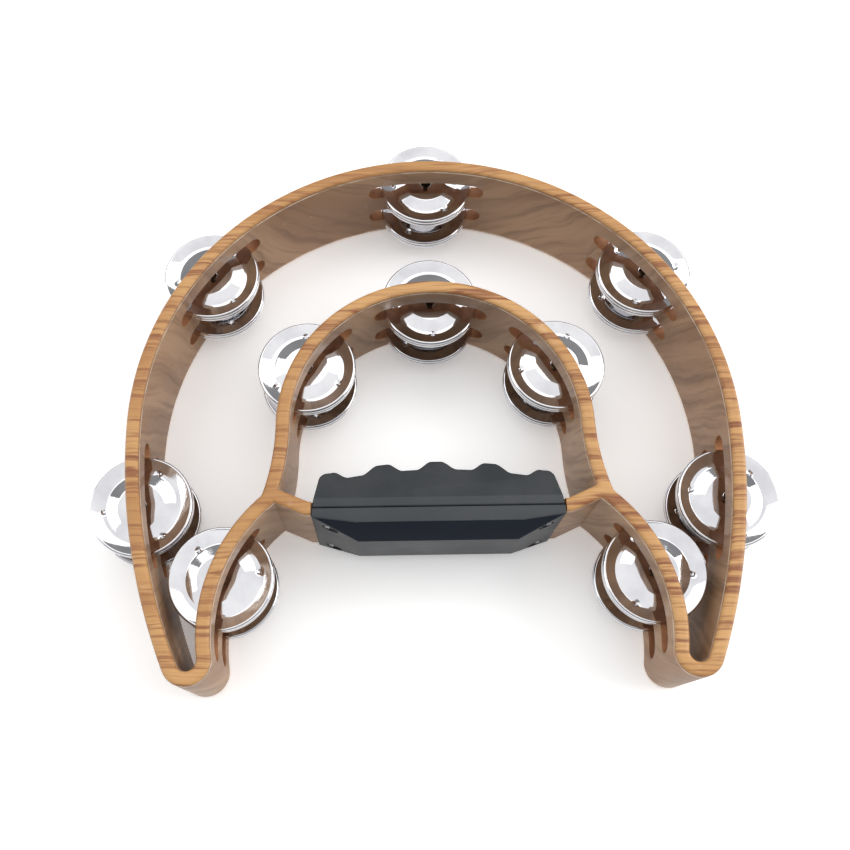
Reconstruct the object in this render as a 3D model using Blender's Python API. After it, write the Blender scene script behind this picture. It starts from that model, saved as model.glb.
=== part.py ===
"""Half-moon tambourine: a moulded frame, forty loose jingles on ten long pins, and a
two-shell finger grip screwed together over the crossbar.

Lying flat: X is left to right, Y runs from the player's palm to the far arch, Z is the
thickness. The plan is drawn about the outer arch's own axes and moved by plan_y, so that
the finished object is centred over the origin and rests on Z = 0. Metres.
"""

import math

import bmesh
import bpy
from mathutils import Matrix, Vector

# --- frame wall -------------------------------------------------------------------
frame_height = 0.0487
wall = 0.0060
rim_round = 0.0018  # both rims' corners
rim_steps = 0  # a plain chamfer
arc_step = 0.0085  # longest facet along a curved wall
arc_turn = math.radians(22)  # and its largest turn

# --- plan of the walls' middle line -------------------------------------------------
arch_radius = 0.1276
arch_y = 0.0018  # height of the outer arch's centre above the inner arch's
side_radius = 0.2534  # long shallow curve from the arch down to the tip
tip_radius = 0.0069  # turn-back at each tip
leg_inset = 0.1024  # centre of the concave lower wall, in from the outer arch's side
leg_y = -0.0850
leg_radius = 0.0688
inner_radius = 0.0649  # inner arch
flare_radius = 0.105  # outward sweep of the inner arch's feet
crotch_fillet = 0.003  # where a foot runs into the lower wall
bar_y = -0.0372  # crossbar
bar_bend_run = 0.0021  # straight bar past the grip's ends
bar_slope = math.radians(24)

# --- slots and pins ------------------------------------------------------------------
row_pitch = 0.0191
slot_height = 0.0090
slot_end_steps = 5
slot_reach = 0.0010  # cutters past the wall's faces
slot_length = 0.0555  # straight across the slot
inner_slot_length = 0.0516
low_slot_length = 0.0564
low_slot_shift = 0.0042  # the lower wall's slots run further towards the tip
arch_pin_angle = math.radians(52.4)  # from the top of the outer arch
side_pin_angle = math.radians(7.5)
inner_pin_angle = math.radians(60)
low_pin_angle = math.radians(19)
pin_radius = 0.0009
pin_head_radius = 0.0020
pin_head_height = 0.0009
pin_head_depth = 0.0003  # head below the lower rim
pin_top_bar = 0.0060  # length held in the top bar
pin_clearance = 0.0003
pin_sides = 12
bore_sides = 12

# --- jingles ---------------------------------------------------------------------------
jingle_radius = 0.0219
jingle_hole = 0.0024
jingle_rise = 0.0021  # raised disc above the open rim
jingle_sheet = 0.0005
jingle_disc = 0.45  # radius of the raised disc, as a share of the jingle's
jingle_groove = 0.72  # and of the groove round it
jingle_groove_height = 0.0006
jingle_lip = 0.96  # where the rising flange turns down into the lip
jingle_lip_height = 0.0017
jingle_skirt = 0.0011  # straight height of the lip
jingle_sides = 16
rim_gap = 0.0004  # between the two jingles of a pair
floor_gap = 0.0003  # under a pair

# --- grip ------------------------------------------------------------------------------
grip_length = 0.1044
grip_inset = 0.0003  # shells stay inside the rims
grip_wall = 0.0025
grip_gap = 0.0003  # shells to bar, and shell to shell
finger_reach = 0.0224  # middle ridge from the parting plane
finger_crown = 2.65  # how fast the ridge line falls towards the ends, per metre
finger_pitch = 0.0230
finger_depth = 0.0041
finger_top = 0.09  # half width of a ridge's flat top, as a share of the pitch
finger_foot = 0.38  # and where its flank runs out into the groove
finger_crease = 0.0040  # flat band beside the parting plane
finger_drop = 0.0090  # fall of the top face from the crease to the ridges
finger_samples = 52
finger_end_run = 0.0030  # taper of the ends in plan
finger_corner = 0.0040
finger_corner_steps = 4
palm_reach = 0.0119
palm_band = 0.0063
palm_end_band = 0.0038
palm_bevel = 0.0108
palm_flat = 0.0670  # length of the palm face
pocket_wall = 0.0028
finger_pocket_height = 0.0360
palm_pocket_height = 0.0300

# --- grip screws ------------------------------------------------------------------------
screw_inset = 0.0074  # from the grip's ends
screw_z = 0.0158  # above and below the middle
screw_radius = 0.0014
screw_head_radius = 0.0028
screw_head_height = 0.0020
screw_length = 0.0140
screw_seat = 0.0040  # seat from the parting plane
screw_clearance = 0.0003
screw_head_crown = 0.7  # top of the head, as a share of its radius
seat_clearance = 0.0005

smooth_below = math.radians(35)  # faces that turn less than this shade as one curve

# --- worked out ---------------------------------------------------------------------------
half_wall = wall / 2
leg_x = arch_radius - leg_inset
bar_bend_x = grip_length / 2 + bar_bend_run
screw_x = grip_length / 2 - screw_inset
mid_z = frame_height / 2
rows = {"lower": mid_z - row_pitch / 2, "upper": mid_z + row_pitch / 2}
pin_top = rows["upper"] + slot_height / 2 + pin_top_bar
grip_half_height = mid_z - grip_inset
neck_half_height = grip_half_height - grip_wall - grip_gap


def polar(centre, radius, angle):
    return Vector((centre[0] + radius * math.cos(angle), centre[1] + radius * math.sin(angle)))


def angle_to(centre, point):
    return math.atan2(point[1] - centre[1], point[0] - centre[0])


def meet_circles(first, first_radius, second, second_radius, side):
    """One of the two points where two circles cross; side is +1 or -1."""
    first, second = Vector(first), Vector(second)
    gap = second - first
    along = (first_radius**2 - second_radius**2 + gap.length_squared) / (2 * gap.length)
    across = math.sqrt(first_radius**2 - along**2)
    unit = gap.normalized()
    return first + along * unit + side * across * Vector((-unit.y, unit.x))


def meet_line(centre, radius, point, direction, side):
    """Where a straight line crosses a circle: side is -1 on its way in, +1 on its way out."""
    offset = Vector(point) - Vector(centre)
    half = offset.dot(direction)
    reach = -half + side * math.sqrt(half**2 - offset.length_squared + radius**2)
    return Vector(point) + reach * direction


def arc(centre, radius, start, end):
    """Points along an arc from one angle to another, both ends included."""
    turn = abs(end - start)
    count = max(2, math.ceil(turn * radius / arc_step), math.ceil(turn / arc_turn))
    return [polar(centre, radius, start + (end - start) * i / count) for i in range(count + 1)]


def mirrored(points):
    return [Vector((-p.x, p.y)) for p in reversed(points)]


def fillet(before, corner, after, radius, steps):
    """A corner rounded to an arc of the given radius."""
    to_before = (before - corner).normalized()
    to_after = (after - corner).normalized()
    half = to_before.angle(to_after) / 2
    centre = corner + (to_before + to_after).normalized() * radius / math.sin(half)
    first = corner + to_before * radius / math.tan(half)
    last = corner + to_after * radius / math.tan(half)
    start = angle_to(centre, first)
    sweep = math.remainder(angle_to(centre, last) - start, math.tau)
    return [polar(centre, radius, start + sweep * i / steps) for i in range(steps + 1)]


# --- plan of the frame, right half ---------------------------------------------------------
arch_centre = Vector((0, arch_y))
inner_centre = Vector((0, 0))
side_centre = Vector((arch_radius - side_radius, arch_y))
leg_centre = Vector((leg_x, leg_y))
flare_centre = Vector((inner_radius + flare_radius, 0))
tip_centre = meet_circles(side_centre, side_radius - tip_radius, leg_centre, leg_radius + tip_radius, 1)
slope = Vector((math.cos(bar_slope), math.sin(bar_slope)))
slope_up = Vector((-slope.y, slope.x))
bar_bend = Vector((bar_bend_x, bar_y))
bend_half = half_wall * math.tan(bar_slope / 2)
plan_y = -(tip_centre.y - tip_radius - half_wall + arch_y + arch_radius + jingle_radius) / 2


def outer_outline():
    """Outer arch, round the tips, up the open side of the lower walls and along the bar."""
    reach = half_wall
    side_end = angle_to(side_centre, tip_centre)
    leg_start = angle_to(leg_centre, tip_centre)
    corner = meet_line(leg_centre, leg_radius - reach, bar_bend - slope_up * reach, slope, 1)
    half = arc(arch_centre, arch_radius + reach, math.pi / 2, 0)
    half += arc(side_centre, side_radius + reach, 0, side_end)[1:]
    half += arc(tip_centre, tip_radius + reach, side_end, leg_start - math.pi)[1:]
    half += arc(leg_centre, leg_radius - reach, leg_start, angle_to(leg_centre, corner))[1:]
    half.append(Vector((bar_bend_x + bend_half, bar_y - reach)))
    return half + mirrored(half)[:-1]


def crescent_outline():
    """The gap between the outer arch, the tips, the lower walls and the inner arch."""
    reach = half_wall
    side_end = angle_to(side_centre, tip_centre)
    leg_start = angle_to(leg_centre, tip_centre)
    leg_face, flare_face = leg_radius + reach, flare_radius - reach
    crotch = meet_circles(
        flare_centre, flare_face - crotch_fillet, leg_centre, leg_face + crotch_fillet, -1
    )
    half = arc(arch_centre, arch_radius - reach, math.pi / 2, 0)
    half += arc(side_centre, side_radius - reach, 0, side_end)[1:]
    half += arc(tip_centre, tip_radius - reach, side_end, leg_start - math.pi)[1:]
    half += arc(leg_centre, leg_face, leg_start, angle_to(leg_centre, crotch))[1:]
    first = angle_to(crotch, leg_centre)
    last = angle_to(flare_centre, crotch)
    half += arc(crotch, crotch_fillet, first, first + math.remainder(last - first, math.tau))[1:]
    half += arc(flare_centre, flare_face, last % math.tau, math.pi)[1:]
    half += arc(inner_centre, inner_radius + reach, 0, math.pi / 2)[1:]
    return half[:-1] + mirrored(half)[:-1]


def hand_outline():
    """The D-shaped hand gap inside the inner arch."""
    reach = half_wall
    start = bar_bend + slope_up * reach
    corner = meet_line(flare_centre, flare_radius + reach, start, slope, -1)
    half = arc(inner_centre, inner_radius - reach, math.pi / 2, 0)
    half += arc(flare_centre, flare_radius + reach, math.pi, angle_to(flare_centre, corner) % math.tau)[1:]
    half.append(Vector((bar_bend_x - bend_half, bar_y + reach)))
    return half + mirrored(half)[:-1]


# --- tools -----------------------------------------------------------------------------------
def material(name, colour, roughness, metallic=0.0):
    made = bpy.data.materials.new(name)
    made.use_nodes = True
    shader = made.node_tree.nodes["Principled BSDF"]
    shader.inputs["Base Color"].default_value = (*colour, 1)
    shader.inputs["Roughness"].default_value = roughness
    shader.inputs["Metallic"].default_value = metallic
    return made


def add_object(name, mesh, collection, finish=None):
    made = bpy.data.objects.new(name, mesh)
    collection.objects.link(made)
    if finish and not mesh.materials:
        mesh.materials.append(finish)
    if finish is None:
        made.hide_render = True
        made.display_type = "WIRE"
    return made


def mesh_from(name, bm):
    bmesh.ops.recalc_face_normals(bm, faces=bm.faces)
    mesh = bpy.data.meshes.new(name)
    bm.to_mesh(mesh)
    bm.free()
    mesh.shade_smooth()
    mesh.set_sharp_from_angle(angle=smooth_below)
    return mesh


def flat_outline(name, outlines, height, rounding, collection, finish=None):
    """Closed outlines in plan, with holes, raised to a plate whose rims are rounded."""
    curve = bpy.data.curves.new(name, "CURVE")
    curve.dimensions = "2D"
    curve.fill_mode = "BOTH"
    curve.extrude = height / 2 - rounding
    curve.bevel_depth = rounding
    curve.bevel_resolution = rim_steps
    curve.offset = -rounding
    for outline in outlines:
        spline = curve.splines.new("POLY")
        spline.points.add(len(outline) - 1)
        for point, (x, y) in zip(spline.points, outline):
            point.co = (x, y, 0, 1)
        spline.use_cyclic_u = True
    guide = bpy.data.objects.new(name + "_curve", curve)
    guide.location.z = mid_z
    collection.objects.link(guide)
    bpy.context.view_layer.update()
    mesh = bpy.data.meshes.new_from_object(guide.evaluated_get(bpy.context.evaluated_depsgraph_get()))
    placed = guide.matrix_world.copy()
    bpy.data.objects.remove(guide)
    bm = bmesh.new()
    bm.from_mesh(mesh)
    bpy.data.meshes.remove(mesh)
    bmesh.ops.remove_doubles(bm, verts=bm.verts, dist=1e-6)
    made = add_object(name, mesh_from(name, bm), collection, finish)
    made.matrix_world = placed
    return made


def box(name, low, high, collection):
    bm = bmesh.new()
    bmesh.ops.create_cube(bm, size=1)
    size = Vector(high) - Vector(low)
    middle = (Vector(high) + Vector(low)) / 2
    bmesh.ops.transform(bm, matrix=Matrix.Translation(middle) @ Matrix.Diagonal((*size, 1)), verts=bm.verts)
    return add_object(name, mesh_from(name, bm), collection)


def rod(name, radius, start, end, collection, sides=bore_sides):
    """A straight round cutter between two points."""
    start, end = Vector(start), Vector(end)
    bm = bmesh.new()
    turn = (end - start).to_track_quat("Z", "Y").to_matrix().to_4x4()
    place = Matrix.Translation((start + end) / 2) @ turn
    bmesh.ops.create_cone(
        bm, cap_ends=True, segments=sides, radius1=radius, radius2=radius,
        depth=(end - start).length, matrix=place,
    )
    return add_object(name, mesh_from(name, bm), collection)


def combine(target, tool, operation="DIFFERENCE"):
    cut = target.modifiers.new(tool.name, "BOOLEAN")
    cut.operation = operation
    cut.solver = "EXACT"
    cut.object = tool


def turned(name, profile, sides):
    """A mesh of revolution about Z; a profile that starts off the axis closes on itself."""
    bm = bmesh.new()
    corners = [bm.verts.new((radius, 0, height)) for radius, height in profile]
    edges = [bm.edges.new(pair) for pair in zip(corners, corners[1:])]
    if profile[0][0] > 0:
        edges.append(bm.edges.new((corners[-1], corners[0])))
    bmesh.ops.spin(
        bm, geom=corners + edges, cent=(0, 0, 0), axis=(0, 0, 1), angle=math.tau, steps=sides,
    )
    bmesh.ops.remove_doubles(bm, verts=bm.verts, dist=1e-6)
    return mesh_from(name, bm)


# --- where the jingles go ----------------------------------------------------------------------
def jingle_places():
    """Name, arc centre, arc radius, pin angle, slot angle and slot length of each place."""
    up = math.pi / 2
    low_angle = low_pin_angle - low_slot_shift / leg_radius
    places = [
        ("outer_top", arch_centre, arch_radius, up, up, slot_length),
        ("inner_top", inner_centre, inner_radius, up, up, inner_slot_length),
    ]
    for hand, sign in (("right", 1), ("left", -1)):
        sides = (
            ("outer_high", arch_centre, arch_radius, up - arch_pin_angle, up - arch_pin_angle, slot_length),
            ("outer_side", side_centre, side_radius, -side_pin_angle, -side_pin_angle, slot_length),
            ("inner_side", inner_centre, inner_radius, up - inner_pin_angle, up - inner_pin_angle,
             inner_slot_length),
            ("low", leg_centre, leg_radius, low_pin_angle, low_angle, low_slot_length),
        )
        for name, centre, radius, pin_angle, slot_angle, length in sides:
            if sign < 0:
                pin_angle, slot_angle = math.pi - pin_angle, math.pi - slot_angle
            places.append((f"{name}_{hand}", Vector((sign * centre.x, centre.y)), radius,
                           pin_angle, slot_angle, length))
    return places


def slot_cutter(name, centre, radius, angle, length, height, collection):
    """A straight round-ended prism through the wall, square to it at the slot's middle."""
    end_radius = slot_height / 2
    run = length / 2 - end_radius
    end = [i * math.pi / slot_end_steps - math.pi / 2 for i in range(slot_end_steps + 1)]
    outline = [Vector((run + end_radius * math.cos(a), end_radius * math.sin(a))) for a in end]
    outline += [-point for point in outline]
    near_face = radius - half_wall
    near = math.sqrt(near_face**2 - (length / 2)**2) - slot_reach
    far = radius + half_wall + slot_reach
    cutter = flat_outline(name, [outline], far - near, 0, collection)
    cutter.location = (*polar(centre, (near + far) / 2, angle), height)
    cutter.rotation_euler = (math.pi / 2, 0, angle - math.pi / 2)
    return cutter


# --- sub-parts ---------------------------------------------------------------------------------
def build_frame(parts, cutters, finish):
    frame = flat_outline(
        "frame", [outer_outline(), crescent_outline(), hand_outline()],
        frame_height, rim_round, parts, finish,
    )
    bore_radius, bore_top = pin_radius + pin_clearance, pin_top + pin_clearance
    seat_radius, seat_top = pin_head_radius + pin_clearance, pin_head_depth + pin_head_height + pin_clearance
    for name, centre, radius, angle, slot_angle, length in jingle_places():
        for row, height in rows.items():
            combine(frame, slot_cutter(
                f"cut_slot_{name}_{row}", centre, radius, slot_angle, length, height, cutters,
            ))
        x, y = polar(centre, radius, angle)
        combine(frame, rod("cut_bore_" + name, bore_radius, (x, y, -wall), (x, y, bore_top), cutters))
        combine(frame, rod("cut_seat_" + name, seat_radius, (x, y, -wall), (x, y, seat_top), cutters))
    notch_x = grip_length / 2 + grip_gap
    for name, low, high in (
        ("cut_neck_under", -wall, mid_z - neck_half_height),
        ("cut_neck_over", mid_z + neck_half_height, frame_height + wall),
    ):
        combine(frame, box(name, (-notch_x, bar_y - wall, low), (notch_x, bar_y + wall, high), cutters))
    for place, x, z in screw_places():
        combine(frame, rod(
            "cut_bar_screw_" + place, screw_radius + screw_clearance,
            (x, bar_y - wall, z), (x, bar_y + wall, z), cutters,
        ))
    return frame


def build_pins(parts, finish):
    """Ten long nails, driven in from the lower rim."""
    head_low = pin_head_depth
    head_high = pin_head_depth + pin_head_height
    profile = [
        (0, pin_top), (pin_radius, pin_top - pin_radius), (pin_radius, head_high),
        (pin_head_radius, head_high), (pin_head_radius, head_low), (0, head_low),
    ]
    nail = turned("pin", profile, pin_sides)
    for name, centre, radius, angle, _, _ in jingle_places():
        pin = add_object("pin_" + name, nail, parts, finish)
        pin.location = (*polar(centre, radius, angle), 0)


def build_jingles(parts, finish):
    """Forty pressed discs in facing pairs; each one's origin is on its pin, at its open rim."""
    disc, groove, lip = (share * jingle_radius for share in (jingle_disc, jingle_groove, jingle_lip))
    sheet = jingle_sheet
    profile = [
        (jingle_hole, jingle_rise), (disc, jingle_rise), (groove, jingle_groove_height),
        (lip, jingle_lip_height), (jingle_radius, jingle_skirt), (jingle_radius, 0),
        (jingle_radius - sheet, 0), (jingle_radius - sheet, jingle_skirt - sheet / 2),
        (lip - sheet / 4, jingle_lip_height - sheet), (groove, jingle_groove_height - sheet),
        (disc - sheet / 2, jingle_rise - sheet), (jingle_hole, jingle_rise - sheet),
    ]
    pressed = turned("jingle", profile, jingle_sides)
    for name, centre, radius, angle, _, _ in jingle_places():
        place = polar(centre, radius, angle)
        for row, height in rows.items():
            under_rim = height - slot_height / 2 + floor_gap + jingle_rise
            over_rim = under_rim + rim_gap
            for side, rim_z, flip in (("under", under_rim, math.pi), ("over", over_rim, 0)):
                jingle = add_object(f"jingle_{name}_{row}_{side}", pressed, parts, finish)
                jingle.location = (*place, rim_z)
                jingle.rotation_euler = (flip, 0, 0)


def screw_places():
    return [
        (f"{hand}_{row}", side * screw_x, mid_z + up * screw_z)
        for hand, side in (("left", -1), ("right", 1)) for row, up in (("lower", -1), ("upper", 1))
    ]


def channel(name, cutters):
    """Room for the crossbar's neck inside both shells."""
    half_x = grip_length
    half_y = half_wall + grip_gap
    half_z = neck_half_height + grip_gap
    return box(name, (-half_x, bar_y - half_y, mid_z - half_z), (half_x, bar_y + half_y, mid_z + half_z), cutters)


def ridge(x):
    """Reach of the finger side at x, from the parting plane."""
    from_top = abs(x / finger_pitch - round(x / finger_pitch))
    t = min(max((from_top - finger_top) / (finger_foot - finger_top), 0), 1)
    return finger_reach - finger_crown * x * x - finger_depth * t * t * (3 - 2 * t)


def build_finger_shell(parts, cutters, finish):
    parting = bar_y + grip_gap / 2
    half = grip_length / 2
    ridge_end = half - finger_end_run - finger_corner
    ridge_line = [
        Vector((x, bar_y + ridge(x)))
        for x in (ridge_end - 2 * ridge_end * i / finger_samples for i in range(finger_samples + 1))
    ]
    base = Vector((half, parting))
    corner = Vector((half - finger_end_run, bar_y + ridge(ridge_end)))
    rounded = fillet(base, corner, ridge_line[0], finger_corner, finger_corner_steps)
    outline = [base] + rounded[:-1] + ridge_line + mirrored(rounded[:-1]) + [Vector((-half, parting))]
    shell = flat_outline("grip_finger_shell", [outline], grip_half_height * 2, 0, parts, finish)
    far = finger_reach + finger_crease
    fall = finger_drop * (far - finger_crease) / (finger_reach - finger_crease)
    profile = [(0, grip_half_height), (finger_crease, grip_half_height), (far, grip_half_height - fall)]
    profile += [(y, -z) for y, z in reversed(profile)]
    bm = bmesh.new()
    for x in (-grip_length, grip_length):
        for y, z in profile:
            bm.verts.new((x, bar_y + y, mid_z + z))
    bmesh.ops.convex_hull(bm, input=bm.verts)
    combine(shell, add_object("keep_finger_profile", mesh_from("keep_finger_profile", bm), cutters), "INTERSECT")
    combine(shell, channel("cut_finger_channel", cutters))
    groove = min(ridge(x / 1000) for x in range(int(1000 * palm_flat / 2)))
    half_pocket = finger_pocket_height / 2
    combine(shell, box(
        "cut_finger_pocket", (-palm_flat / 2, bar_y - wall, mid_z - half_pocket),
        (palm_flat / 2, bar_y + groove - pocket_wall, mid_z + half_pocket), cutters,
    ))
    for place, x, z in screw_places():
        tip = bar_y - screw_seat + screw_length + screw_clearance
        combine(shell, rod(
            "cut_finger_screw_" + place, screw_radius + screw_clearance,
            (x, bar_y - wall, z), (x, tip, z), cutters,
        ))
    return shell


def build_palm_shell(parts, cutters, finish):
    """The convex hull of its corners: a flat palm face, long bevels and tapered ends."""
    half, flat = grip_length / 2, palm_flat / 2
    high, low = grip_half_height, grip_half_height - palm_bevel
    corners = [
        (half, grip_gap / 2, high), (half, palm_end_band, high), (flat, palm_band, high),
        (flat, palm_reach, low),
    ]
    bm = bmesh.new()
    for x, y, z in corners:
        for side in (-1, 1):
            for up in (-1, 1):
                bm.verts.new((side * x, bar_y - y, mid_z + up * z))
    bmesh.ops.convex_hull(bm, input=bm.verts)
    shell = add_object("grip_palm_shell", mesh_from("grip_palm_shell", bm), parts, finish)
    combine(shell, channel("cut_palm_channel", cutters))
    half_pocket = palm_pocket_height / 2
    combine(shell, box(
        "cut_palm_pocket", (-flat, bar_y - palm_reach + pocket_wall, mid_z - half_pocket),
        (flat, bar_y + wall, mid_z + half_pocket), cutters,
    ))
    for place, x, z in screw_places():
        seat = bar_y - screw_seat - screw_clearance
        combine(shell, rod(
            "cut_palm_screw_" + place, screw_radius + screw_clearance,
            (x, seat - wall, z), (x, bar_y + wall, z), cutters,
        ))
        combine(shell, rod(
            "cut_palm_seat_" + place, screw_head_radius + seat_clearance,
            (x, bar_y - palm_reach - wall, z), (x, seat, z), cutters, bore_sides + 4,
        ))
    return shell


def build_screws(parts, finish):
    """Four screws, their heads to the palm; each runs down its own -Z from its seat."""
    seat = screw_clearance
    profile = [
        (0, seat + screw_head_height), (screw_head_radius * screw_head_crown, seat + screw_head_height),
        (screw_head_radius, seat + screw_head_height / 2), (screw_head_radius, seat), (screw_radius, seat),
        (screw_radius, screw_radius - screw_length), (0, -screw_length),
    ]
    fastener = turned("grip_screw", profile, bore_sides)
    for name, x, z in screw_places():
        screw = add_object("grip_screw_" + name, fastener, parts, finish)
        screw.location = (x, bar_y - screw_seat - screw_clearance, z)
        screw.rotation_euler.x = math.pi / 2


def clear_scene():
    for old in list(bpy.data.objects):
        bpy.data.objects.remove(old)


def new_collection(name):
    made = bpy.data.collections.new(name)
    bpy.context.scene.collection.children.link(made)
    return made


def build():
    clear_scene()
    parts = new_collection("tambourine")
    cutters = new_collection("cutters")
    wood_print = material("wood_print", (0.44, 0.24, 0.10), 0.45)
    chrome = material("chrome", (0.85, 0.85, 0.86), 0.12, 1.0)
    steel = material("pin_steel", (0.45, 0.42, 0.38), 0.35, 1.0)
    grip_plastic = material("grip_plastic", (0.035, 0.038, 0.042), 0.45)
    build_frame(parts, cutters, wood_print)
    build_pins(parts, steel)
    build_jingles(parts, chrome)
    build_finger_shell(parts, cutters, grip_plastic)
    build_palm_shell(parts, cutters, grip_plastic)
    build_screws(parts, steel)
    centre = bpy.data.objects.new("plan_centre", None)
    centre.location.y = plan_y
    for made in (*parts.objects, *cutters.objects):
        made.parent = centre
    parts.objects.link(centre)


build()
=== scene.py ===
import math
import random

import bmesh
import bpy
from mathutils import Matrix, Vector


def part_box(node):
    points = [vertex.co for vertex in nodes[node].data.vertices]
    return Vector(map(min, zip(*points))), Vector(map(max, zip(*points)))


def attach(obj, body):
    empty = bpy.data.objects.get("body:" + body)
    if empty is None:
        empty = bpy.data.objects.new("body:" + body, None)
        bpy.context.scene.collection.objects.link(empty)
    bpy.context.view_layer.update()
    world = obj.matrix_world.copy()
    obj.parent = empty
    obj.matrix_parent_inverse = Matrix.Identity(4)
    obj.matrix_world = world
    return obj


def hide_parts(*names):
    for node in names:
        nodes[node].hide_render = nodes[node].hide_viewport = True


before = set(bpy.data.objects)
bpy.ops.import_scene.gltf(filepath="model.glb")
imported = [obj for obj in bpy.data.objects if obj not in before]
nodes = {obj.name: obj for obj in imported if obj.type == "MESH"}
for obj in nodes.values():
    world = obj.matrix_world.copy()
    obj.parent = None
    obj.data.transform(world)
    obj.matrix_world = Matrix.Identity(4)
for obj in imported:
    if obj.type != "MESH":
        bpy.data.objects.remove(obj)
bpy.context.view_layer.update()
scene = bpy.context.scene
print("tambourine: frame loaded,", len(nodes), "nodes")


clearance = 0.0003  # between pieces that fit into each other
overshoot = 0.01  # cutters run past the faces they open


def boxCentre(node):
    low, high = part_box(node)
    return (low + high) / 2


def newObject(name, mesh, *materials):
    obj = bpy.data.objects.new(name, mesh)
    scene.collection.objects.link(obj)
    for material in materials:
        mesh.materials.append(material)
    return obj


def plainMesh(obj, name):
    # the evaluated result, with every modifier used up
    bpy.context.view_layer.update()
    evaluated = obj.evaluated_get(bpy.context.evaluated_depsgraph_get())
    mesh = bpy.data.meshes.new_from_object(evaluated)
    mesh.name = name
    return mesh


def bake(obj):
    # modifiers go into the mesh, and the place goes into the vertices
    mesh = plainMesh(obj, obj.name)
    mesh.transform(obj.matrix_world)
    obj.modifiers.clear()
    obj.data = mesh
    obj.matrix_world = Matrix.Identity(4)
    return obj


def shade(obj, angle=35):
    obj.data.shade_smooth()
    obj.data.set_sharp_from_angle(angle=math.radians(angle))
    return obj


def addModifier(obj, kind, **values):
    modifier = obj.modifiers.new(kind.lower(), kind)
    for key, value in values.items():
        setattr(modifier, key, value)
    return modifier


def cutWith(obj, cutter, operation="DIFFERENCE"):
    return addModifier(obj, "BOOLEAN", operation=operation, solver="EXACT", object=cutter)


def joined(objects):
    # several cutters in one mesh
    bm = bmesh.new()
    for obj in objects:
        mesh = obj.data
        mesh.transform(obj.matrix_world)
        bm.from_mesh(mesh)
        bpy.data.objects.remove(obj)
    mesh = bpy.data.meshes.new("cutters")
    bm.to_mesh(mesh)
    bm.free()
    return newObject("cutters", mesh)


def plate(name, outlines, height, rounding=0.0, steps=3):
    # flat outlines raised to a plate about z = 0, its rims rounded
    curve = bpy.data.curves.new(name, "CURVE")
    curve.dimensions = "2D"
    curve.fill_mode = "BOTH"
    curve.extrude = height / 2 - rounding
    curve.bevel_depth = rounding
    curve.bevel_resolution = steps
    curve.offset = -rounding
    for outline in outlines:
        spline = curve.splines.new("POLY")
        spline.points.add(len(outline) - 1)
        for point, place in zip(spline.points, outline):
            point.co = (place[0], place[1], 0, 1)
        spline.use_cyclic_u = True
    guide = newObject(name + "Curve", curve)
    mesh = plainMesh(guide, name)
    bpy.data.objects.remove(guide)
    bm = bmesh.new()
    bm.from_mesh(mesh)
    bmesh.ops.remove_doubles(bm, verts=bm.verts, dist=1e-6)
    bmesh.ops.recalc_face_normals(bm, faces=bm.faces)
    bm.to_mesh(mesh)
    bm.free()
    mesh.materials.clear()
    return newObject(name, mesh)


def hull(name, corners):
    # the flat-sided solid round a set of corners
    bm = bmesh.new()
    for corner in corners:
        bm.verts.new(corner)
    bmesh.ops.convex_hull(bm, input=bm.verts)
    bmesh.ops.dissolve_limit(bm, angle_limit=0.001, verts=bm.verts, edges=bm.edges)
    bmesh.ops.recalc_face_normals(bm, faces=bm.faces)
    mesh = bpy.data.meshes.new(name)
    bm.to_mesh(mesh)
    bm.free()
    return newObject(name, mesh)


def rod(name, radius, start, end, sides=32):
    # a round bar between two points
    start, end = Vector(start), Vector(end)
    bm = bmesh.new()
    turn = (end - start).to_track_quat("Z", "Y").to_matrix().to_4x4()
    bmesh.ops.create_cone(
        bm, cap_ends=True, segments=sides, radius1=radius, radius2=radius,
        depth=(end - start).length, matrix=Matrix.Translation((start + end) / 2) @ turn,
    )
    mesh = bpy.data.meshes.new(name)
    bm.to_mesh(mesh)
    bm.free()
    return newObject(name, mesh)


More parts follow.
